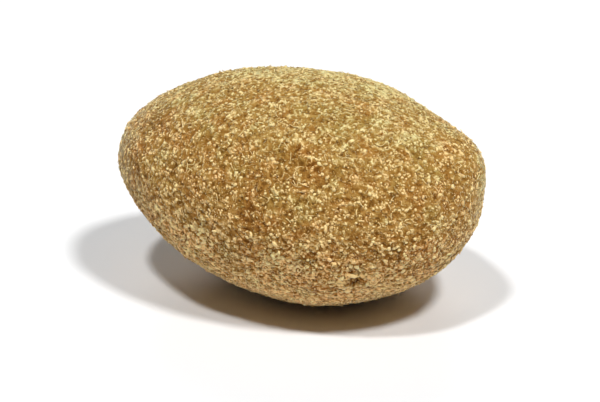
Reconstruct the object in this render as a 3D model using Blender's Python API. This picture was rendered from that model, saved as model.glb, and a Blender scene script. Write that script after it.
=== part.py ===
"""A chocolate almond under a thick licorice powder coat, lying on its small resting flat.

X runs along the almond from its round end to its pointed end, Z is up, and the floor is Z = 0.
Every size below is in millimetres and every angle in degrees; the mesh itself is in metres.
"""

import math

import bmesh
import bpy
from mathutils import Matrix, Vector, noise

MM = 0.001

# Overall body, before the tip is drawn out
BODY_LENGTH = 27.75
BODY_WIDTH = 18.85
BODY_HEIGHT = 15.95

# How the section changes along the body, as shares of its width and height
EGG_WIDTH = 0.073
EGG_HEIGHT = 0.098
FULL_WIDTH = -0.01
FULL_HEIGHT = -0.12
FULL_LEVEL = 0.3

# How far the middle line leaves the long axis
TIP_RISE = 0.9
ROUND_END_RISE = 0.35
TIP_SIDE = -0.48
BELLY_SAG = 0.14

# The soft corner of the almond's tip, seen through the coat
TIP_DRAW = 1.25
TIP_SPREAD = 16.3
TIP_TURN = 7.0
TIP_LIFT = 27.0

# Slight unevenness left by the tumbling pan
LUMP_HEIGHT = 0.16
LUMP_WAVES = 2.6
DIMPLE_HEIGHT = 0.05
DIMPLE_WAVES = 7.0
LUMP_OFFSET = Vector((3.7, 1.9, 8.2))

# The small pit with a raised rim on the front flank
PIT_TURN = -55.7
PIT_LIFT = -18.0
PIT_HALF_LENGTH = 0.75
PIT_HALF_WIDTH = 0.45
PIT_DEPTH = 0.3
PIT_RIM = 0.07
PIT_RIM_AT = 1.35
PIT_RIM_WIDTH = 0.35
PIT_SLANT = 8.0
PIT_REACH = 3.0

# How it lies: pointed end a little down, pressed onto a small flat
NOSE_DOWN = 4.4
FLAT_DEPTH = 0.26
FLAT_SLAB = 6.0

# Fineness of the mesh
BALL_CUTS = 28
PIT_PATCH = 9.5
PIT_CUTS = 3


def clear_scene():
    for thing in list(bpy.data.objects):
        bpy.data.objects.remove(thing, do_unlink=True)


def new_collection(name):
    made = bpy.data.collections.new(name)
    bpy.context.scene.collection.children.link(made)
    return made


def new_material(name, colour, roughness):
    made = bpy.data.materials.new(name)
    made.use_nodes = True
    shader = made.node_tree.nodes["Principled BSDF"]
    shader.inputs["Base Color"].default_value = (*colour, 1.0)
    shader.inputs["Roughness"].default_value = roughness
    made.diffuse_color = (*colour, 1.0)
    return made


def toward(turn, lift):
    """The unit direction at this turn about Z and this lift above the XY plane."""
    a = math.radians(turn)
    b = math.radians(lift)
    return Vector((math.cos(b) * math.cos(a), math.cos(b) * math.sin(a), math.sin(b)))


def on_ball(point):
    """A point of the cube moved onto the unit ball, with even steps along each side."""
    warped = Vector([math.tan(part * math.pi / 4) for part in point])
    return warped.normalized()


def body_point(way):
    """Where the coat's surface lies in this direction, in millimetres, before the pit."""
    along = way.x
    egg_width = 1 + EGG_WIDTH * along + FULL_WIDTH * (along * along - FULL_LEVEL)
    egg_height = 1 + EGG_HEIGHT * along + FULL_HEIGHT * (along * along - FULL_LEVEL)
    point = Vector(
        (
            BODY_LENGTH / 2 * along,
            BODY_WIDTH / 2 * way.y * egg_width,
            BODY_HEIGHT / 2 * way.z * egg_height,
        )
    )
    tip = toward(TIP_TURN, TIP_LIFT)
    off_tip = way.angle(tip) / math.radians(TIP_SPREAD)
    point += tip * TIP_DRAW * math.exp(-(off_tip**2))
    front = max(along, 0.0) ** 2
    back = max(-along, 0.0) ** 2
    under = max(-way.z, 0.0) ** 2
    point.z += TIP_RISE * front + ROUND_END_RISE * back
    point.z -= BELLY_SAG * under * (1 - along * along)
    point.y += TIP_SIDE * front
    lump = LUMP_HEIGHT * noise.noise(way * LUMP_WAVES + LUMP_OFFSET)
    dimple = DIMPLE_HEIGHT * noise.noise(way * DIMPLE_WAVES + LUMP_OFFSET)
    return point + way * (lump + dimple)


def pit_frame():
    """The pit's centre, its long and short directions and its outward normal."""
    way = toward(PIT_TURN, PIT_LIFT)
    centre = body_point(way)
    step = 0.02
    side = way.cross(Vector((0, 0, 1))).normalized()
    up = side.cross(way)
    ahead = body_point((way + side * step).normalized()) - centre
    above = body_point((way + up * step).normalized()) - centre
    normal = ahead.cross(above).normalized()
    if normal.dot(way) < 0:
        normal.negate()
    long_way = Matrix.Rotation(math.radians(PIT_SLANT), 3, normal) @ ahead.normalized()
    return centre, long_way, normal.cross(long_way), normal


def pit_shift(point, frame):
    """How far the pit moves this point along the pit's normal."""
    centre, long_way, short_way, _ = frame
    off = point - centre
    if off.length > PIT_REACH:
        return 0.0
    reach = math.hypot(off.dot(long_way) / PIT_HALF_LENGTH, off.dot(short_way) / PIT_HALF_WIDTH)
    hollow = PIT_DEPTH * math.exp(-(reach**2.6))
    rim = PIT_RIM * math.exp(-(((reach - PIT_RIM_AT) / PIT_RIM_WIDTH) ** 2))
    return rim - hollow


def make_ball(bm):
    """A cube cut into a grid, finer round the pit, and rounded to the unit ball."""
    bmesh.ops.create_cube(bm, size=2.0)
    bmesh.ops.subdivide_edges(bm, edges=bm.edges[:], cuts=BALL_CUTS, use_grid_fill=True)
    pit = toward(PIT_TURN, PIT_LIFT)
    reach = math.radians(PIT_PATCH)
    near = {v for v in bm.verts if on_ball(v.co).angle(pit) < reach}
    fine = [e for e in bm.edges if near.issuperset(e.verts)]
    bmesh.ops.subdivide_edges(bm, edges=fine, cuts=PIT_CUTS, use_grid_fill=True)
    for vert in bm.verts:
        vert.co = on_ball(vert.co)


def seat(bm):
    """Tips the pointed end down, centres the body and sinks it by the depth of the flat."""
    down = Matrix.Rotation(math.radians(NOSE_DOWN), 3, "Y")
    bmesh.ops.rotate(bm, verts=bm.verts, cent=(0, 0, 0), matrix=down)
    spread = [[v.co[axis] for v in bm.verts] for axis in range(3)]
    shift = Vector(
        (
            -(min(spread[0]) + max(spread[0])) / 2,
            -(min(spread[1]) + max(spread[1])) / 2,
            -min(spread[2]) - FLAT_DEPTH,
        )
    )
    bmesh.ops.translate(bm, verts=bm.verts, vec=shift)


def make_object(name, bm, group, material):
    mesh = bpy.data.meshes.new(name)
    bm.to_mesh(mesh)
    bm.free()
    made = bpy.data.objects.new(name, mesh)
    made.data.materials.append(material)
    group.objects.link(made)
    return made


def make_almond(group, material):
    bm = bmesh.new()
    make_ball(bm)
    frame = pit_frame()
    normal = frame[3]
    for vert in bm.verts:
        point = body_point(vert.co)
        vert.co = point + normal * pit_shift(point, frame)
    seat(bm)
    bmesh.ops.scale(bm, verts=bm.verts, vec=(MM, MM, MM))
    bmesh.ops.recalc_face_normals(bm, faces=bm.faces)
    almond = make_object("coated_almond", bm, group, material)
    almond.data.shade_smooth()
    return almond


def make_flat_cutter(group, material):
    """The slab below the floor that leaves the small resting flat."""
    bm = bmesh.new()
    bmesh.ops.create_cube(bm, size=1.0)
    size = Vector((BODY_LENGTH * 2, BODY_WIDTH * 2, FLAT_SLAB)) * MM
    bmesh.ops.scale(bm, verts=bm.verts, vec=size)
    bmesh.ops.translate(bm, verts=bm.verts, vec=(0, 0, -size.z / 2))
    cutter = make_object("resting_flat_cutter", bm, group, material)
    cutter.hide_render = True
    cutter.display_type = "WIRE"
    return cutter


def cut(target, cutter):
    modifier = target.modifiers.new("resting_flat", "BOOLEAN")
    modifier.operation = "DIFFERENCE"
    modifier.solver = "EXACT"
    modifier.object = cutter


def main():
    clear_scene()
    parts = new_collection("licorice_chocolate_almond")
    cutters = new_collection("cutters")
    coat = new_material("licorice_powder", (0.46, 0.27, 0.105), 0.9)
    helper = new_material("cutter", (0.5, 0.5, 0.5), 1.0)
    almond = make_almond(parts, coat)
    cut(almond, make_flat_cutter(cutters, helper))


main()
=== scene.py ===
"""A chocolate almond under a thick, grainy coat of licorice powder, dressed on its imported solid.

The coat is one closed skin with the powder's relief in its mesh. The loose powder lies on it as real
grains: pale flecks, tan grains, fine dust, cocoa crumbs and short root fibres. Lengths are in metres,
and names that end in MM are in millimetres. X runs from the round end to the pointed end, and the floor
is Z = 0.
"""

import math
from typing import NamedTuple

import bmesh
import bpy
import numpy as np
from bpy.props import FloatProperty, FloatVectorProperty, IntProperty, PointerProperty
from mathutils import Matrix, Vector, noise
from mathutils.bvhtree import BVHTree


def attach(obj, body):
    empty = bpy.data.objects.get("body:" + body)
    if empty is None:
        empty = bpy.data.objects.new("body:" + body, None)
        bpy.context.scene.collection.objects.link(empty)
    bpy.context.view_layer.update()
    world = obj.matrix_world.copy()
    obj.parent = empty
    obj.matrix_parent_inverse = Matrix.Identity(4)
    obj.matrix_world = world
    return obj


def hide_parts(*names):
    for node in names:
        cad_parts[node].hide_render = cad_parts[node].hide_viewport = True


bl_info = {
    "name": "Licorice Chocolate Almond",
    "version": (1, 0, 0),
    "blender": (4, 5, 0),
    "location": "View3D > Sidebar > Almond",
    "description": "Builds a chocolate almond dusted with licorice powder, and its stage",
    "category": "Add Mesh",
}

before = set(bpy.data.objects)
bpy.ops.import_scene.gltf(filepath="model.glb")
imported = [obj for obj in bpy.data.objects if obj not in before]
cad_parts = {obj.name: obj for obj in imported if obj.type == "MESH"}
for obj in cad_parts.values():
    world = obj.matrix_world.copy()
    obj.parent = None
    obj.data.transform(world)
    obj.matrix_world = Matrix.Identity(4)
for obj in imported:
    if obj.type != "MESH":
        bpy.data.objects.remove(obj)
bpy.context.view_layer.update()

MM = 0.001
FULL_TURN = 2 * math.pi
NODE = "coated_almond"
COAT = "licorice_powder_coat"

# A point inside the solid from which its whole skin is in sight
CORE_MM = Vector((0.4, 0.0, 8.3))

# The small pit on the front flank: its place, half sizes, depth and rim
PIT_AT_MM = Vector((7.05, -7.5, 4.94))
PIT_LONG_MM = 0.72
PIT_WIDE_MM = 0.42
PIT_DEPTH_MM = 0.3
PIT_RIM_MM = 0.1
PIT_RIM_AT = 1.55
PIT_REACH_MM = 3.0

# Places where the powder lies thin over the chocolate: place, reach and strength. The last, broad place
# is painted shade that darkens the whole round end.
THIN_AND_SHADED_MM = (
    ((3.7, -7.4, 12.8), 0.85, 0.55),
    ((-9.8, -3.3, 13.4), 1.6, 0.7),
    ((11.1, -5.7, 6.7), 2.4, 0.65),
    ((4.4, -7.6, 3.6), 1.4, 0.55),
    ((-1.1, -9.2, 9.6), 2.2, 0.2),
    ((12.3, -4.6, 6.9), 2.0, 0.4),
    ((-4.0, -5.0, 14.8), 2.4, 0.3),
    ((-6.0, 6.5, 11.0), 2.2, 0.6),
    ((5.5, 8.0, 8.0), 2.0, 0.6),
    ((-11.5, 2.0, 6.5), 1.6, 0.5),
    # Painted shade: this broad, weak place darkens the whole round end
    ((-12.5, -3.5, 9.0), 5.5, 0.45),
)

# Places where the powder lies thick and pale
THICK_MM = (
    ((-0.8, 0.8, 16.5), 1.5, 0.9),
    ((8.5, -2.0, 13.6), 3.8, 0.6),
    ((12.7, -1.3, 12.2), 1.6, 0.9),
    ((13.6, 0.7, 10.8), 2.4, 1.3),
    ((-9.1, -5.7, 11.9), 1.3, 0.45),
    ((-9.1, -1.5, 14.3), 1.2, 0.5),
    ((-3.0, 7.5, 12.0), 2.5, 0.5),
)
# The most that the thick places and the painted top and crest glow add up to
THICK_AND_GLOW_LIMIT = 1.7

# Heights between which the coat changes, from nothing at the first to all at the second
# Painted highlight: the coat is painted paler and greener towards the top
TOP_GLOW_MM = (12.0, 15.5)
# Painted highlight: the pale glow on the strip behind the top
CREST_MM = (10.5, 14.0)
# Painted light: the low flank is painted paler, warmer and with stronger contrast, fading out under the
# foot
LOW_FLANK_MM = (10.5, 4.5)
FOOT_MM = (0.3, 2.0)
# Painted light: just above the floor the powder is painted paler and with less contrast, as a glow from
# the floor; its relief is lower there too
FOOT_GLOW_MM = (4.4, 2.2)
COARSE_GRAIN_MM = (10.5, 5.5)
COARSE_FOOT_MM = (2.0, 4.0)
# Painted light: the grains are painted paler and warmer low on the flank
PALE_GRAIN_MM = (9.5, 4.0)
WARM_GRAIN_MM = (9.5, 4.5)
# Painted light: the grains are painted greener towards the top
KHAKI_GRAIN_MM = (12.5, 15.5)

# Noise fields: the size of their lumps in millimetres, and their seed
STAINS = (3.2, 1)
CLUMPS = (0.7, 2)
RIDGES = (0.46, 3)
BUMPS = (0.44, 4)
SMALL_BUMPS = (0.28, 5)
LUMPS = (2.6, 6)
FLANK_EDGE = (3.0, 7)
MOTTLES = (2.2, 8)
FOOT_GLOW_EDGE = (1.6, 9)
CREST_EDGE = (2.4, 10)
PIT_EDGE = (0.35, 21)

# The powder's soft surface, which has almost no gloss
DUSTY = {
    "Sheen_Roughness": 0.3,
    "Sheen_Tint": (1.0, 0.99, 0.7, 1.0),
    "Specular_IOR_Level": 0.03,
}

# How much paler than the flecks the palest powder is, and where plain powder is on the colour ramp
PALER = 1.15
PLAIN_LEVEL = 0.378

# The pieces' own map: its name, the margins in it, and how far past a full turn a grain's face may go
MAP = "OFBake"
SIDE_MARGIN = 0.008
CELL_MARGIN = 0.08
SPARE_TURN = 1.4

# The grains: how many forms each kind has, how their sizes, tilts and tones spread, and how far they
# stand off the coat, in their own half heights
GRAIN_SEED = 40
GRAIN_FORMS = 14
GRAIN_SPREAD = 0.3
GRAIN_LARGEST = 1.7
GRAIN_FLATNESS = (1.0, 0.88, 0.42)
GRAIN_LEAN = 0.2
GRAIN_LIFT = (-0.45, 0.2)
TONE_SPREAD = 0.22

# How much larger the grains are low on the flank, how much paler they are painted behind the top as a
# painted highlight, and the height above the floor under which there are none
FLANK_COARSER = 0.45
CREST_PALER = 0.25
LOWEST_GRAIN = 0.00045

# The fibres: the same for them, with their half thickness and their lift in metres
FIBRE_SEED = 60
FIBRE_FORMS = 10
FIBRE_SPREAD = 0.35
FIBRE_HALF_THICKNESS = (0.000028, 0.00005)
FIBRE_LIFT = 0.00004
FIBRE_LEAN = 0.12
FIBRE_TONE = 0.6

# Where the lamps and the camera look
LAMP_TARGET = Vector((0.0, 0.0, 0.008))
CAMERA_TARGET = Vector((0.0, 0.0, 0.0068))


def smoothstep(low, high, value):
    share = np.clip((value - low) / (high - low), 0.0, 1.0)
    return share * share * (3 - 2 * share)


def soft_noise(points, size, seed):
    """Perlin noise at these points in millimetres, with lumps of about this size."""
    offset = Vector((seed * 7.31, seed * 3.17, seed * 5.23))
    scale = 1.0 / size
    return np.array([noise.noise(Vector(p) * scale + offset) for p in points])


def ridge_noise(points, size, seed):
    """Crooked ridges about this far apart, from 0 between them to 1 along their tops."""
    return 1 - np.clip(np.abs(soft_noise(points, size, seed)) / 0.34, 0.0, 1.0)


def grain_noise(points, size, seed):
    """Round bumps about this far apart, from 0 between them to 1 on their tops."""
    offset = Vector((seed * 2.71, seed * 6.13, seed * 4.49))
    scale = 1.0 / size
    near = [noise.voronoi(Vector(p) * scale + offset)[0][0] for p in points]
    return 1 - np.clip(np.array(near) / 0.75, 0.0, 1.0) ** 2


def share_of_places(points, places):
    """How far each point, in millimetres, is inside the places of this list, up to their strength."""
    total = np.zeros(len(points))
    for centre, reach, strength in places:
        far = np.linalg.norm(points - np.array(centre), axis=1) / reach
        total = np.maximum(total, strength * (1 - smoothstep(0.35, 1.25, far)))
    return total


def crest_glow_share(points):
    """How far each point, in millimetres, is on the strip behind the top where a pale glow is painted,
    from 0 to 1.
    """
    askew = points[:, 1] - 0.2 * points[:, 0] + 1.2 * soft_noise(points, *CREST_EDGE)
    share = smoothstep(-1.5, 1.7, askew) * smoothstep(8.5, 4.5, askew)
    return share * smoothstep(*CREST_MM, points[:, 2]) * smoothstep(-8.5, -1.5, points[:, 0])


# Materials


class Wire:
    """A socket that takes part in sums: each sign adds its Math node."""

    def __init__(self, finish, socket):
        self.finish = finish
        self.socket = socket

    def sum(self, operation, first, second):
        settings = {"operation": operation}
        return self.finish.node("ShaderNodeMath", settings, {0: first, 1: second})

    def __add__(self, other):
        return self.sum("ADD", self, other)

    def __radd__(self, other):
        return self.sum("ADD", other, self)

    def __sub__(self, other):
        return self.sum("SUBTRACT", self, other)

    def __rsub__(self, other):
        return self.sum("SUBTRACT", other, self)

    def __mul__(self, other):
        return self.sum("MULTIPLY", self, other)

    def __rmul__(self, other):
        return self.sum("MULTIPLY", other, self)

    def __abs__(self):
        return self.finish.node("ShaderNodeMath", {"operation": "ABSOLUTE"}, {0: self})


class Finish:
    """One material, or the world's light, and the ways to add nodes to it."""

    def __init__(self, holder, shader="Principled BSDF"):
        holder.use_nodes = True
        self.holder = holder
        self.tree = holder.node_tree
        self.shader = self.tree.nodes[shader]

    def node(self, kind, settings=None, sockets=None, out=0):
        """Adds a node of this kind, sets it up, and gives back one of its outputs."""
        made = self.tree.nodes.new(kind)
        for name, value in (settings or {}).items():
            if name == "stops":
                self.set_stops(made.color_ramp, value)
            else:
                setattr(made, name, value)
        for name, value in (sockets or {}).items():
            self.put(made.inputs[name], value)
        return Wire(self, made.outputs[out])

    def set_stops(self, ramp, stops):
        while len(ramp.elements) < len(stops):
            ramp.elements.new(1.0)
        for element, (place, colour) in zip(ramp.elements, stops):
            element.position = place
            element.color = (*colour, 1.0)

    def put(self, socket, value):
        """Links a wire to this socket, or sets the socket to a number or colour."""
        if isinstance(value, Wire):
            self.tree.links.new(value.socket, socket)
        elif socket.type == "RGBA" and len(value) == 3:
            socket.default_value = (*value, 1.0)
        else:
            socket.default_value = value

    def surface(self, **values):
        """Puts these values on the shader's own sockets, whose names are written with underscores."""
        for name, value in values.items():
            self.put(self.shader.inputs[name.replace("_", " ")], value)

    def place(self):
        return self.node("ShaderNodeTexCoord", out="Object")

    def attribute(self, name):
        return self.node("ShaderNodeAttribute", {"attribute_name": name}, out="Fac")

    def noise(self, size_mm, detail=2.0, roughness=0.5):
        """Noise from 0 to 1 with lumps of about this size."""
        sockets = {
            "Vector": self.place(),
            "Scale": 1.0 / (size_mm * MM),
            "Detail": detail,
            "Roughness": roughness,
        }
        return self.node("ShaderNodeTexNoise", {}, sockets)

    def cells(self, size_mm):
        """The distance from the middle of the nearest grain, in grain sizes."""
        sockets = {"Vector": self.place(), "Scale": 1.0 / (size_mm * MM)}
        return self.node("ShaderNodeTexVoronoi", {}, sockets, out="Distance")

    def ramp(self, factor, stops):
        return self.node("ShaderNodeValToRGB", {"stops": stops}, {"Fac": factor}, out="Color")

    def step(self, value, low, high):
        """Goes smoothly from 0 at the low value to 1 at the high one."""
        settings = {"interpolation_type": "SMOOTHSTEP"}
        sockets = {"Value": value, "From Min": low, "From Max": high}
        return self.node("ShaderNodeMapRange", settings, sockets)

    def height_step(self, heights_mm):
        """Goes smoothly from 0 at the first height above the floor to 1 at the second."""
        height = self.node("ShaderNodeSeparateXYZ", {}, {"Vector": self.place()}, out="Z")
        return self.step(height, heights_mm[0] * MM, heights_mm[1] * MM)

    def blend(self, factor, first, second, way="MIX"):
        settings = {"data_type": "RGBA", "blend_type": way}
        return self.node("ShaderNodeMix", settings, {0: factor, 6: first, 7: second}, out=2)

    def patches(self, size_mm):
        """Soft patches about this far apart, from 0 between them to 1 in their middles."""
        return self.step(self.noise(size_mm), 0.46, 0.7)

    def tint(self, factor, colour, glaze):
        return self.blend(factor, colour, glaze, "MULTIPLY")

    def bump(self, height, depth_mm):
        sockets = {"Height": height, "Distance": depth_mm * MM}
        return self.node("ShaderNodeBump", {}, sockets)


def pale_of(colour):
    return tuple(min(1.0, part * PALER) for part in colour)


def powder_finish(settings):
    """Licorice powder over chocolate: pale on the raised grains, brown in the hollows."""
    finish = Finish(bpy.data.materials.new(COAT))
    relief = finish.attribute("relief")
    thin = finish.attribute("thin")
    thick = finish.attribute("thick")
    low = finish.attribute("low")
    rubbed = finish.attribute("rubbed")
    fine = finish.noise(0.16, 3.0, 0.65)
    speck = finish.noise(0.34, 2.0, 0.6)
    broad = finish.noise(1.6)
    # Pale, crooked threads, broken up into short pieces
    threads = finish.step(abs(finish.noise(0.52, 1.0, 0.4) - 0.5), 0.065, 0.0)
    threads = threads * finish.step(finish.noise(0.38, 1.0), 0.46, 0.58)
    # The level is the place on the ramp from the brown hollows to the palest powder. It also carries
    # painted light: the low flank painted paler and with stronger contrast, the band at the foot
    # painted paler and smoother, the top and crest painted paler, and the round end painted darker.
    grit = (fine - 0.5) * 0.56 + (speck - 0.5) * 0.6
    level = relief * (0.45 + low * 0.12) + grit * (1 - thick * 0.1 + low * 2.0 - rubbed * 1.8)
    level = level + (broad - 0.5) * (0.08 + thick * 0.2 + low * 0.25)
    level = level + threads * 0.38 + PLAIN_LEVEL
    level = level + thick * 0.125 + low * 0.21 + rubbed * 0.08 - thin * 0.16
    colour = finish.ramp(
        level,
        (
            (0.098, settings.hollow_colour),
            (0.322, settings.ground_colour),
            (0.562, settings.powder_colour),
            (0.818, settings.fleck_colour),
            (1.0, pale_of(settings.fleck_colour)),
        ),
    )
    # On the low flank this warmer tint is painted light
    russet = finish.patches(1.5) * 0.62 + thin * 0.6 + low * 1.1
    colour = finish.tint(russet, colour, settings.russet_tint)
    # Where it comes from the top and the crest, this khaki cast is painted light
    khaki = finish.patches(1.9) * 0.7 + thick * 0.55
    colour = finish.tint(khaki, colour, settings.khaki_tint)
    height = fine * 0.5 + threads * 0.7 + finish.cells(0.13) * -0.4
    finish.surface(
        Base_Color=colour,
        Roughness=0.93 - thin * 0.12,
        Normal=finish.bump(height, 0.06),
        Sheen_Weight=settings.sheen,
        **DUSTY,
    )
    return finish.holder


def grain_finish(name, stops, coat):
    """One kind of grain: each has its own tone. Warmer low down and greener on top are painted light.
    """
    finish = Finish(bpy.data.materials.new(name))
    tone = finish.attribute("tone") + (finish.noise(0.09) - 0.5) * 0.35
    low = finish.height_step(WARM_GRAIN_MM)
    high = finish.height_step(KHAKI_GRAIN_MM)
    colour = finish.ramp(tone, stops)
    russet = finish.patches(1.5) * (low * 0.3 + 0.4) + low * 0.15
    colour = finish.tint(russet, colour, coat.russet_tint)
    khaki = finish.patches(1.9) * 0.4 + high * 0.4
    colour = finish.tint(khaki, colour, coat.khaki_tint)
    finish.surface(
        Base_Color=colour,
        Roughness=0.92 + (finish.noise(0.3) - 0.5) * 0.1,
        Sheen_Weight=coat.sheen,
        **DUSTY,
    )
    return finish.holder


def floor_finish(colour):
    """A plain pale table top, with a trace of unevenness."""
    finish = Finish(bpy.data.materials.new("pale_floor"))
    faint = finish.noise(40.0)
    shade = finish.blend(faint * 0.03, colour, tuple(part * 0.9 for part in colour))
    finish.surface(Base_Color=shade, Roughness=0.55, Specular_IOR_Level=0.2)
    return finish.holder


# The coat


def new_piece(name, mesh, material):
    """Adds a piece that rides on the root body, with this material."""
    piece = bpy.data.objects.new(name, mesh)
    bpy.context.scene.collection.objects.link(piece)
    mesh.materials.append(material)
    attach(piece, "root")
    return piece


def solid_tree():
    """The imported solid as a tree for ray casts, in millimetres."""
    bm = bmesh.new()
    bm.from_mesh(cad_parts[NODE].data)
    bmesh.ops.remove_doubles(bm, verts=bm.verts, dist=1e-6)
    bmesh.ops.scale(bm, verts=bm.verts, vec=(1 / MM, 1 / MM, 1 / MM))
    tree = BVHTree.FromBMesh(bm)
    bm.free()
    return tree


def cube_mesh(cuts):
    """A cube cut into an even grid, as a mesh with its corners at 1 and -1."""
    bm = bmesh.new()
    bmesh.ops.create_cube(bm, size=2.0)
    bmesh.ops.subdivide_edges(bm, edges=bm.edges[:], cuts=cuts, use_grid_fill=True)
    mesh = bpy.data.meshes.new(COAT)
    bm.to_mesh(mesh)
    bm.free()
    return mesh


def read(collection, name, width, kind=np.float32):
    """One value of everything in this collection, as an array with this many numbers in a row."""
    values = np.empty(len(collection) * width, kind)
    collection.foreach_get(name, values)
    return values.reshape(-1, width) if width > 1 else values


def write_points(mesh, points):
    mesh.vertices.foreach_set("co", points.astype(np.float32).ravel())


def write_attribute(mesh, name, values):
    attribute = mesh.attributes.new(name, "FLOAT", "POINT")
    attribute.data.foreach_set("value", values.astype(np.float32))


def write_map(mesh, uv):
    layer = mesh.uv_layers.new(name=MAP)
    layer.data.foreach_set("uv", uv.astype(np.float32).ravel())


def evened(values, edges, rounds):
    """Values on a mesh's points, each drawn halfway to its neighbours' mean this many times."""
    count = np.bincount(edges.ravel(), minlength=len(values))
    for _ in range(rounds):
        total = np.bincount(edges[:, 0], values[edges[:, 1]], len(values))
        total += np.bincount(edges[:, 1], values[edges[:, 0]], len(values))
        values = 0.5 * values + 0.5 * total / count
    return values


def evened_form(cube, edges, rounds):
    """The cube's points moved onto the solid, in millimetres, with the solid's facets evened."""
    ways = np.tan(cube * math.pi / 4)
    ways /= np.linalg.norm(ways, axis=1)[:, None]
    tree = solid_tree()
    reach = np.array([tree.ray_cast(CORE_MM, Vector(way))[3] for way in ways])
    reach = evened(reach, edges, rounds)
    return np.array(CORE_MM) + ways * reach[:, None]


def unfold_cube(mesh, cube):
    """Lays the cube's six sides side by side in the piece's own map."""
    corner = read(mesh.loops, "vertex_index", 1, np.int32)
    middle = cube[corner].reshape(-1, 4, 3).mean(axis=1)
    axis = np.repeat(np.abs(middle).argmax(axis=1), 4)
    sign = np.repeat(np.sign(middle[np.arange(len(middle)), axis[::4]]), 4)
    rows = np.arange(len(corner))
    across = cube[corner][rows, (axis + 1) % 3] * sign
    along = cube[corner][rows, (axis + 2) % 3]
    side = 1 - 2 * SIDE_MARGIN
    u = (axis + SIDE_MARGIN + side * (across + 1) / 2) / 3
    v = ((sign > 0) + SIDE_MARGIN + side * (along + 1) / 2) / 2
    write_map(mesh, np.stack([u, v], axis=1))


def pit_heights(points, normals):
    """The pit with its ragged rim, as heights in millimetres."""
    off = points - np.array(PIT_AT_MM)
    far = np.linalg.norm(off, axis=1)
    close = far < PIT_REACH_MM
    normal = normals[far.argmin()]
    long_way = np.cross(normal, (0.0, 0.1, 1.0))
    long_way /= np.linalg.norm(long_way)
    wide_way = np.cross(normal, long_way)
    reach = np.hypot(off @ long_way / PIT_LONG_MM, off @ wide_way / PIT_WIDE_MM)
    ragged = np.ones(len(points))
    ragged[close] += 0.5 * soft_noise(points[close], *PIT_EDGE)
    reach = reach * ragged
    hollow = PIT_DEPTH_MM * np.exp(-(reach**3))
    # The rim is higher and broader on the side above the pit
    above = np.clip(off[:, 2] / np.maximum(far, 0.01), 0.0, 1.0)
    rim_width = 0.34 + 0.22 * above
    rim = PIT_RIM_MM * (0.8 + 1.4 * above) * np.exp(-(((reach - PIT_RIM_AT) / rim_width) ** 2))
    return np.where(close, rim - hollow, 0.0)


def powder_cover(points):
    """Where the powder is thin and where it is thick, and where light is painted: shade on the round
    end, glow on the top, the crest and the foot, and light on the low flank, as values from 0 up.
    """
    height = points[:, 2]
    thin = share_of_places(points, THIN_AND_SHADED_MM)
    thin = np.clip(thin + 0.9 * np.clip(soft_noise(points, *STAINS) - 0.12, 0, 1), 0, 1)
    thick = share_of_places(points, THICK_MM)
    # Painted highlight: paler towards the top
    thick += 0.8 * smoothstep(*TOP_GLOW_MM, height)
    # Painted highlight: the glow on the strip behind the top
    thick += crest_glow_share(points) * (1.1 + 1.4 * soft_noise(points, *MOTTLES))
    thick = np.minimum(thick, THICK_AND_GLOW_LIMIT)
    # Painted light on the low flank, faded out under the foot
    low = smoothstep(*LOW_FLANK_MM, height) * (0.85 + 0.8 * soft_noise(points, *FLANK_EDGE))
    low *= smoothstep(*FOOT_MM, height)
    # Painted glow near the foot, with flatter painted contrast and lower relief
    rubbed = smoothstep(*FOOT_GLOW_MM, height + 0.8 * soft_noise(points, *FOOT_GLOW_EDGE))
    return {"thin": thin, "thick": thick, "low": low, "rubbed": rubbed}


def powder_relief(points, rubbed):
    """The powder's crooked ridges and round grains, about 1 on their tops and below 0 between them."""
    ridges = ridge_noise(points, *RIDGES) * (0.9 + 0.6 * soft_noise(points, *CLUMPS))
    bumps = grain_noise(points, *BUMPS)
    small = grain_noise(points, *SMALL_BUMPS)
    relief = 0.8 * (ridges - 0.4) + 0.4 * (bumps - 0.45) + 0.4 * (small - 0.45)
    return relief * (1 - 0.4 * rubbed)


def make_coat(settings):
    """The powder coat: the solid's own form, evened, with the powder's relief on it."""
    mesh = cube_mesh(settings.cuts)
    cube = read(mesh.vertices, "co", 3).astype(float)
    edges = read(mesh.edges, "vertices", 2, np.int32)
    points = evened_form(cube, edges, settings.evening)
    write_points(mesh, points)
    mesh.update()
    normals = read(mesh.vertex_normals, "vector", 3).astype(float)
    cover = powder_cover(points)
    relief = powder_relief(points, cover["rubbed"])
    pit = pit_heights(points, normals)
    height = settings.relief_depth / MM * relief * (1 - 0.45 * cover["thin"])
    height += settings.lump_depth / MM * soft_noise(points, *LUMPS)
    height += pit
    # The colour follows the relief, so the pit's hollow is dark and its rim pale
    relief += 2.6 * pit + 5.0 * np.maximum(pit, 0.0)
    points = points + normals * height[:, None]
    points[:, 2] = np.maximum(points[:, 2], 0.0)
    write_points(mesh, points * MM)
    for name, values in {"relief": relief, **cover}.items():
        write_attribute(mesh, name, values)
    unfold_cube(mesh, cube)
    mesh.shade_smooth()
    mesh.update()
    return mesh


# The loose powder


class GrainKind(NamedTuple):
    """One kind of grain. Its half width is in metres, and the colour stops go from dark to pale."""

    name: str
    count: int
    fineness: int
    half: float
    longest: float
    thin_and_shaded_wish: float
    relief_wish: float
    tone: float
    flank_paler: float
    stops: tuple


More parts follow.
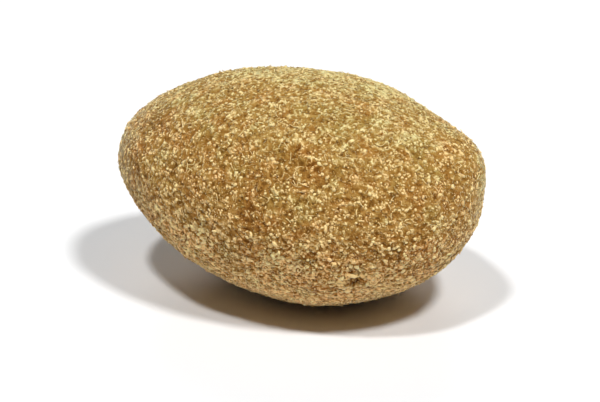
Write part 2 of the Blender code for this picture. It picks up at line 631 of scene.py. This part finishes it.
def grain_kinds(settings, coat):
    """The four kinds of grain, in the order in which they are strewn."""
    size = settings.fleck_size
    hollow = coat.hollow_colour
    ground = coat.ground_colour
    powder = coat.powder_colour
    fleck = coat.fleck_colour
    return (
        GrainKind(
            name="pale_flecks",
            count=settings.flecks,
            fineness=1,
            half=size,
            longest=1.5,
            thin_and_shaded_wish=-0.5,
            relief_wish=0.5,
            tone=0.56,
            flank_paler=0.36,
            stops=((0.0, powder), (0.55, fleck), (1.0, pale_of(fleck))),
        ),
        GrainKind(
            name="tan_grains",
            count=settings.tans,
            fineness=1,
            half=size * 0.95,
            longest=1.5,
            thin_and_shaded_wish=-0.3,
            relief_wish=0.1,
            tone=0.45,
            flank_paler=0.18,
            stops=((0.0, ground), (0.5, powder), (1.0, fleck)),
        ),
        GrainKind(
            name="fine_dust",
            count=settings.dust,
            fineness=0,
            half=size * 0.46,
            longest=1.8,
            thin_and_shaded_wish=-0.3,
            relief_wish=0.2,
            tone=0.45,
            flank_paler=0.2,
            stops=((0.0, ground), (0.4, powder), (1.0, fleck)),
        ),
        GrainKind(
            name="cocoa_crumbs",
            count=settings.crumbs,
            fineness=1,
            half=size * 0.75,
            longest=1.6,
            thin_and_shaded_wish=0.5,
            relief_wish=-0.2,
            tone=0.5,
            flank_paler=0.1,
            stops=((0.0, hollow), (1.0, ground)),
        ),
    )


class Skin:
    """The finished coat as a surface on which grains are strewn."""

    TRIES = 4

    def __init__(self):
        mesh = bpy.data.objects[COAT].data
        mesh.calc_loop_triangles()
        self.corners = read(mesh.loop_triangles, "vertices", 3, np.int32)
        self.points = read(mesh.vertices, "co", 3).astype(float)
        self.normals = read(mesh.vertex_normals, "vector", 3).astype(float)
        self.thin = read(mesh.attributes["thin"].data, "value", 1)
        self.relief = read(mesh.attributes["relief"].data, "value", 1)
        a, b, c = (self.points[self.corners[:, k]] for k in range(3))
        area = np.linalg.norm(np.cross(b - a, c - a), axis=1)
        self.share = area / area.sum()

    def strew(self, count, rng, thin_and_shaded_wish, relief_wish):
        """Points and normals for this many grains, with more of them where the wishes are met."""
        tries = count * self.TRIES
        face = rng.choice(len(self.share), tries, p=self.share)
        weight = rng.dirichlet((1.0, 1.0, 1.0), tries)
        corner = self.corners[face]
        point = (self.points[corner] * weight[:, :, None]).sum(axis=1)
        normal = (self.normals[corner] * weight[:, :, None]).sum(axis=1)
        normal /= np.linalg.norm(normal, axis=1)[:, None]
        thin = (self.thin[corner] * weight).sum(axis=1)
        relief = (self.relief[corner] * weight).sum(axis=1)
        wish = 0.5 + thin_and_shaded_wish * (thin - 0.3) + relief_wish * relief
        keep = rng.random(tries) < np.clip(wish, 0.04, 1.0)
        keep &= point[:, 2] > LOWEST_GRAIN
        kept = np.flatnonzero(keep)[:count]
        return point[kept], normal[kept]


def points_and_faces(bm):
    """A small mesh as arrays of its points and faces. The bmesh is freed."""
    bm.verts.ensure_lookup_table()
    points = np.array([v.co for v in bm.verts])
    faces = np.array([[v.index for v in f.verts] for f in bm.faces])
    bm.free()
    return points, faces


def near_first(turn, first):
    """Angles moved by full turns to within half a turn of the first."""
    return first + (turn - first + math.pi) % FULL_TURN - math.pi


def across_map(turn):
    """The angles of each face's corners as places across the map, from 0 to 1."""
    turn = turn - FULL_TURN * np.floor((turn.min(axis=1) + math.pi) / FULL_TURN)[:, None]
    return (turn + math.pi) / (FULL_TURN + SPARE_TURN)


def strip_map(ball, faces):
    """Unrolls a ball round its poles, face by face, into the unit square."""
    turn = np.arctan2(ball[:, 1], ball[:, 0])[faces]
    lift = np.arccos(np.clip(ball[:, 2], -1.0, 1.0))[faces]
    pole = np.hypot(ball[:, 0], ball[:, 1])[faces] < 1e-4
    first = np.where(pole[:, 0], turn[:, 1], turn[:, 0])[:, None]
    turn = near_first(turn, first)
    seen = np.where(pole, 0.0, turn).sum(axis=1) / (~pole).sum(axis=1)
    turn = np.where(pole, seen[:, None], turn)
    return np.stack([across_map(turn), lift / math.pi], axis=2)


def rod_map(rod, faces):
    """Unrolls a rod's side into the unit square, with its end caps below and above it."""
    turn = np.arctan2(rod[:, 1], rod[:, 0])[faces]
    side_u = across_map(near_first(turn, turn[:, :1]))
    along = rod[:, 2][faces]
    side_v = 0.2 + 0.6 * (along + 1) / 2
    cap = np.ptp(along, axis=1) < 0.05
    high = along.mean(axis=1) > 0
    cap_u = 0.5 + 0.4 * rod[:, 0][faces]
    cap_v = 0.08 + 0.07 * rod[:, 1][faces] + 0.84 * high[:, None]
    u = np.where(cap[:, None], cap_u, side_u)
    v = np.where(cap[:, None], cap_v, side_v)
    return np.stack([u, v], axis=2)


def grain_shapes(forms, fineness, rng):
    """A few rough grains about 2 across: their points, their faces and a flat map of each."""
    shapes = []
    for _ in range(forms):
        bm = bmesh.new()
        if fineness:
            bmesh.ops.create_icosphere(bm, subdivisions=fineness, radius=1.0)
        else:
            bmesh.ops.create_uvsphere(bm, u_segments=4, v_segments=2, radius=1.0)
        ball, faces = points_and_faces(bm)
        rough = ball * rng.uniform(0.72, 1.15, (len(ball), 1))
        shapes.append((rough, faces, strip_map(ball, faces)))
    return shapes


def fibre_shapes(forms, rng):
    """Thin bent rods along X, 2 long: their points, their faces and a flat map of each."""
    shapes = []
    for _ in range(forms):
        bm = bmesh.new()
        bmesh.ops.create_cone(
            bm, cap_ends=True, cap_tris=True, segments=5, radius1=0.8, radius2=0.5, depth=2.0
        )
        long_edges = [e for e in bm.edges if abs(e.verts[0].co.z - e.verts[1].co.z) > 1.0]
        bmesh.ops.subdivide_edges(bm, edges=long_edges, cuts=3, use_grid_fill=True)
        bmesh.ops.triangulate(bm, faces=bm.faces[:])
        rod, faces = points_and_faces(bm)
        bend = rng.uniform(-0.35, 0.35)
        arch = rng.uniform(0.0, 2.5)
        along = rod[:, 2]
        sideways = rod[:, 1] + bend * 12 * (1 - along**2)
        form = np.stack([along, sideways, rod[:, 0] + arch * (along**2 - 0.4)], axis=1)
        shapes.append((form, faces, rod_map(rod, faces)))
    return shapes


def frames_on(normals, rng, lean):
    """A turned frame on each normal: its third row leans off the normal a little."""
    count = len(normals)
    up = normals + rng.normal(0.0, lean, (count, 3))
    up /= np.linalg.norm(up, axis=1)[:, None]
    side = np.cross(up, rng.normal(0.0, 1.0, (count, 3)))
    side /= np.linalg.norm(side, axis=1)[:, None]
    return np.stack([side, np.cross(up, side), up], axis=1)


def joined_grains(name, shapes, points, frames, sizes, tones, rng):
    """All the grains of one kind as one mesh, with a tone and a cell of the map for each."""
    pick = rng.integers(0, len(shapes), len(points))
    across = math.ceil(math.sqrt(len(points)))
    number = np.arange(len(points))
    cell = np.stack([number % across, number // across], axis=1)
    inside = 1 - 2 * CELL_MARGIN
    parts = []
    start = 0
    for index, (form, faces, flat) in enumerate(shapes):
        chosen = np.flatnonzero(pick == index)
        local = form[None] * sizes[chosen][:, None, :]
        placed = np.einsum("gvk,gkx->gvx", local, frames[chosen]) + points[chosen][:, None, :]
        first = start + np.arange(len(chosen))[:, None, None] * len(form)
        corners = (faces[None] + first).reshape(-1, 3)
        uv = (cell[chosen][:, None, None, :] + CELL_MARGIN + inside * flat[None]) / across
        tone = np.repeat(tones[chosen], len(form))
        parts.append((placed.reshape(-1, 3), corners, uv.reshape(-1, 2), tone))
        start += len(chosen) * len(form)
    return joined_mesh(name, *(np.concatenate(column) for column in zip(*parts)))


def joined_mesh(name, points, faces, uv, tone):
    """One mesh of triangles from these arrays."""
    mesh = bpy.data.meshes.new(name)
    mesh.vertices.add(len(points))
    write_points(mesh, points)
    mesh.loops.add(faces.size)
    mesh.loops.foreach_set("vertex_index", faces.astype(np.int32).ravel())
    mesh.polygons.add(len(faces))
    mesh.polygons.foreach_set("loop_start", np.arange(0, faces.size, 3, dtype=np.int32))
    mesh.update(calc_edges=True)
    write_map(mesh, uv)
    write_attribute(mesh, "tone", tone)
    mesh.shade_smooth()
    return mesh


def make_grains(kind, rng, skin):
    """The mesh of one kind of grain, coarser low on the flank, and painted paler low on the flank and
    behind the top as painted light.
    """
    shapes = grain_shapes(GRAIN_FORMS, kind.fineness, rng)
    points, normals = skin.strew(kind.count, rng, kind.thin_and_shaded_wish, kind.relief_wish)
    count = len(points)
    sizes = kind.half * rng.lognormal(0.0, GRAIN_SPREAD, (count, 1))
    sizes = sizes * rng.uniform(0.75, 1.25, (count, 3))
    sizes = np.minimum(sizes, kind.half * GRAIN_LARGEST) * GRAIN_FLATNESS
    points_mm = points / MM
    height = points_mm[:, 2] - 2.6 * soft_noise(points_mm, *FLANK_EDGE)
    flank = smoothstep(*COARSE_GRAIN_MM, height) * smoothstep(*COARSE_FOOT_MM, points_mm[:, 2])
    sizes *= 1 + FLANK_COARSER * flank[:, None]
    sizes[:, 0] *= rng.uniform(1.0, kind.longest, count)
    frames = frames_on(normals, rng, GRAIN_LEAN)
    points = points + normals * sizes[:, 2:] * rng.uniform(*GRAIN_LIFT, (count, 1))
    tones = rng.normal(kind.tone, TONE_SPREAD, count)
    # Painted light: grains paler low on the flank
    tones = tones + kind.flank_paler * smoothstep(*PALE_GRAIN_MM, height)
    # Painted highlight: grains paler on the strip behind the top
    tones = np.clip(tones + CREST_PALER * crest_glow_share(points_mm), 0.0, 1.0)
    return joined_grains(kind.name, shapes, points, frames, sizes, tones, rng)


def make_fibres(name, settings, rng, skin):
    """The mesh of all the fibres, which lie almost flat on the coat."""
    shapes = fibre_shapes(FIBRE_FORMS, rng)
    points, normals = skin.strew(settings.fibres, rng, thin_and_shaded_wish=0.1, relief_wish=0.1)
    count = len(points)
    length = settings.fibre_length / 2 * rng.lognormal(-0.1, FIBRE_SPREAD, count)
    length = np.minimum(length, settings.fibre_length)
    thickness = rng.uniform(*FIBRE_HALF_THICKNESS, count)
    sizes = np.stack([length, thickness, thickness], axis=1)
    frames = frames_on(normals, rng, FIBRE_LEAN)
    points = points + normals * FIBRE_LIFT
    tones = np.clip(rng.normal(FIBRE_TONE, TONE_SPREAD, count), 0.0, 1.0)
    return joined_grains(name, shapes, points, frames, sizes, tones, rng)


# The stage


def aim(thing, place, target):
    """Puts a lamp or the camera at this place, looking at the target."""
    look = (target - place).to_track_quat("-Z", "Y").to_matrix().to_4x4()
    thing.matrix_world = Matrix.Translation(place) @ look


def make_lamp(name, way, width, strength):
    """A far round lamp in this direction, this many degrees across."""
    lamp = bpy.data.lights.new(name, "SUN")
    lamp.angle = math.radians(width)
    lamp.energy = strength
    thing = bpy.data.objects.new(name, lamp)
    bpy.context.scene.collection.objects.link(thing)
    aim(thing, LAMP_TARGET + way.normalized(), LAMP_TARGET)


def make_floor(radius, colour):
    """The round pale floor."""
    bm = bmesh.new()
    bmesh.ops.create_circle(bm, cap_ends=True, segments=96, radius=radius)
    mesh = bpy.data.meshes.new("pale_floor")
    bm.to_mesh(mesh)
    bm.free()
    mesh.materials.append(floor_finish(tuple(colour)))
    floor = bpy.data.objects.new("pale_floor", mesh)
    bpy.context.scene.collection.objects.link(floor)


def make_camera(lens_mm, place):
    """The camera at this place, looking at the almond's middle."""
    lens = bpy.data.cameras.new("camera")
    lens.lens = lens_mm
    lens.clip_start = 0.01
    lens.clip_end = 10.0
    camera = bpy.data.objects.new("camera", lens)
    bpy.context.scene.collection.objects.link(camera)
    aim(camera, place, CAMERA_TARGET)
    return camera


def room_light(strength, away):
    """White walls round the table, and softer light from above and behind."""
    world = bpy.data.worlds.new("room_light")
    light = Finish(world, "Background")
    way = light.node("ShaderNodeTexCoord", out="Generated")
    settings = {"operation": "DOT_PRODUCT"}
    behind = light.node("ShaderNodeVectorMath", settings, {0: way, 1: away}, out="Value")
    height = light.node("ShaderNodeVectorMath", settings, {0: way, 1: (0.0, 0.0, 1.0)}, out="Value")
    share = light.step(behind, -0.75, 0.15) * 0.85 + 0.15
    share = share * (light.step(height, 0.0, 0.7) * 0.7 + 0.3)
    walls = light.step(height, 0.06, 0.02)
    colour = light.blend(walls, (0.86, 1.0, 1.12), (1.0, 1.0, 1.0))
    light.surface(Color=colour, Strength=share * strength + walls)
    return world


# What the user may change


class CoatSettings(bpy.types.PropertyGroup):
    """Sizes and colours of the powder coat."""

    cuts: IntProperty(name="Cuts", description="Cuts along each side of the starting cube", default=127)
    evening: IntProperty(
        name="Evening", description="How often the solid's facets are evened", default=60
    )
    relief_depth: FloatProperty(
        name="Relief", description="Height of the powder's grain", default=0.0001, unit="LENGTH"
    )
    lump_depth: FloatProperty(
        name="Lumps", description="Height of the low lumps", default=0.00008, unit="LENGTH"
    )
    sheen: FloatProperty(name="Sheen", description="Pale glow of the powder's edge", default=1.0)
    hollow_colour: FloatVectorProperty(
        name="Hollows",
        description="Chocolate between the grains",
        subtype="COLOR",
        default=(0.156, 0.066, 0.011),
    )
    ground_colour: FloatVectorProperty(
        name="Ground",
        description="Powder pressed into the chocolate",
        subtype="COLOR",
        default=(0.322, 0.154, 0.03),
    )
    powder_colour: FloatVectorProperty(
        name="Powder", description="Licorice powder", subtype="COLOR", default=(0.45, 0.257, 0.067)
    )
    fleck_colour: FloatVectorProperty(
        name="Flecks", description="The palest powder", subtype="COLOR", default=(0.95, 0.70, 0.33)
    )
    russet_tint: FloatVectorProperty(
        name="Russet",
        description="Stain of the chocolate on the powder",
        subtype="COLOR",
        default=(1.0, 0.8, 0.7),
    )
    khaki_tint: FloatVectorProperty(
        name="Khaki", description="Green cast of the powder", subtype="COLOR", default=(0.87, 1.0, 1.0)
    )


class GrainSettings(bpy.types.PropertyGroup):
    """How many grains of each kind there are, and their sizes."""

    flecks: IntProperty(name="Flecks", description="Number of pale flecks", default=7800)
    tans: IntProperty(name="Tan grains", description="Number of tan grains", default=9500)
    dust: IntProperty(name="Dust", description="Number of grains of fine tan dust", default=24000)
    crumbs: IntProperty(name="Crumbs", description="Number of cocoa brown crumbs", default=2600)
    fibres: IntProperty(name="Fibres", description="Number of short root fibres", default=800)
    fleck_size: FloatProperty(
        name="Fleck size", description="Half width of a pale fleck", default=0.000095, unit="LENGTH"
    )
    fibre_length: FloatProperty(
        name="Fibre length", description="Mean length of a fibre", default=0.0005, unit="LENGTH"
    )


class StageSettings(bpy.types.PropertyGroup):
    """The floor, the lamps and the camera."""

    turn: FloatProperty(
        name="Turn", description="Camera's turn about Z", default=math.radians(20), unit="ROTATION"
    )
    lift: FloatProperty(
        name="Lift", description="Camera's height angle", default=math.radians(25), unit="ROTATION"
    )
    lens: FloatProperty(name="Lens", description="Focal length in millimetres", default=200.0)
    distance: FloatProperty(
        name="Distance", description="From the camera to the almond", default=0.245, unit="LENGTH"
    )
    floor_radius: FloatProperty(
        name="Floor radius", description="Radius of the round floor", default=0.6, unit="LENGTH"
    )
    floor_colour: FloatVectorProperty(
        name="Floor", description="Colour of the floor", subtype="COLOR", default=(0.842, 0.844, 0.848)
    )
    right_power: FloatProperty(name="Right lamp", description="Strength of the right lamp", default=2.2)
    left_power: FloatProperty(name="Left lamp", description="Strength of the left lamp", default=1.62)
    back_power: FloatProperty(name="Back lamp", description="Strength of the back lamp", default=0.5)
    sky: FloatProperty(name="Sky", description="Strength of the even white light", default=0.12)


# Operators


class ALMOND_OT_coat(bpy.types.Operator):
    """Build the licorice powder coat in place of the plain solid"""

    bl_idname = "almond.coat"
    bl_label = "Powder Coat"

    def execute(self, context):
        settings = context.scene.almond_coat
        piece = new_piece(COAT, make_coat(settings), powder_finish(settings))
        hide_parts(NODE)
        return {"FINISHED"}


class ALMOND_OT_grains(bpy.types.Operator):
    """Strew the pale flecks, the tan grains, the dust and the cocoa crumbs over the coat"""

    bl_idname = "almond.grains"
    bl_label = "Powder Grains"

    def execute(self, context):
        coat = context.scene.almond_coat
        skin = Skin()
        for number, kind in enumerate(grain_kinds(context.scene.almond_grains, coat)):
            mesh = make_grains(kind, np.random.default_rng(GRAIN_SEED + number), skin)
            new_piece(kind.name, mesh, grain_finish(kind.name, kind.stops, coat))
        return {"FINISHED"}


class ALMOND_OT_fibres(bpy.types.Operator):
    """Lay the short straw coloured root fibres on the coat"""

    bl_idname = "almond.fibres"
    bl_label = "Root Fibres"

    def execute(self, context):
        name = "root_fibres"
        coat = context.scene.almond_coat
        rng = np.random.default_rng(FIBRE_SEED)
        mesh = make_fibres(name, context.scene.almond_grains, rng, Skin())
        pale = pale_of(coat.fleck_colour)
        stops = ((0.0, coat.ground_colour), (0.5, coat.fleck_colour), (1.0, pale))
        new_piece(name, mesh, grain_finish(name, stops, coat))
        return {"FINISHED"}


class ALMOND_OT_stage(bpy.types.Operator):
    """Set up the pale floor, the soft lamps and the camera"""

    bl_idname = "almond.stage"
    bl_label = "Stage"

    def execute(self, context):
        scene = context.scene
        settings = scene.almond_stage
        make_floor(settings.floor_radius, settings.floor_colour)
        across = Vector((math.cos(settings.turn), math.sin(settings.turn), 0.0))
        away = Vector((-math.sin(settings.turn), math.cos(settings.turn), 0.0))
        up = Vector((0.0, 0.0, 1.0))
        make_lamp("right_lamp", across * 0.40 - away * 0.34 + up, 8.6, settings.right_power)
        make_lamp("left_lamp", across * -0.22 - away * 0.24 + up, 6.3, settings.left_power)
        make_lamp("back_lamp", away + up * 0.7, 30.0, settings.back_power)
        scene.world = room_light(settings.sky, away)
        back = math.cos(settings.lift) * -away + math.sin(settings.lift) * up
        scene.camera = make_camera(settings.lens, CAMERA_TARGET + back * settings.distance)
        scene.view_settings.view_transform = "Standard"
        return {"FINISHED"}


class ALMOND_PT_panel(bpy.types.Panel):
    """The almond's buttons in the sidebar"""

    bl_idname = "ALMOND_PT_panel"
    bl_label = "Licorice Chocolate Almond"
    bl_space_type = "VIEW_3D"
    bl_region_type = "UI"
    bl_category = "Almond"

    def draw(self, context):
        for holder in GROUPS:
            group = getattr(context.scene, holder)
            for name in group.__annotations__:
                self.layout.prop(group, name)
        for operator in STEPS:
            self.layout.operator(operator.bl_idname)


STEPS = (ALMOND_OT_coat, ALMOND_OT_grains, ALMOND_OT_fibres, ALMOND_OT_stage)
GROUPS = {
    "almond_coat": CoatSettings,
    "almond_grains": GrainSettings,
    "almond_stage": StageSettings,
}
CLASSES = (*GROUPS.values(), *STEPS, ALMOND_PT_panel)


def register():
    for made in CLASSES:
        bpy.utils.register_class(made)
    for name, group in GROUPS.items():
        setattr(bpy.types.Scene, name, PointerProperty(type=group))


def unregister():
    for name in GROUPS:
        delattr(bpy.types.Scene, name)
    for made in reversed(CLASSES):
        bpy.utils.unregister_class(made)


def main():
    register()
    bpy.ops.almond.coat()
    bpy.ops.almond.grains()
    bpy.ops.almond.fibres()
    bpy.ops.almond.stage()


if __name__ == "__main__":
    main()
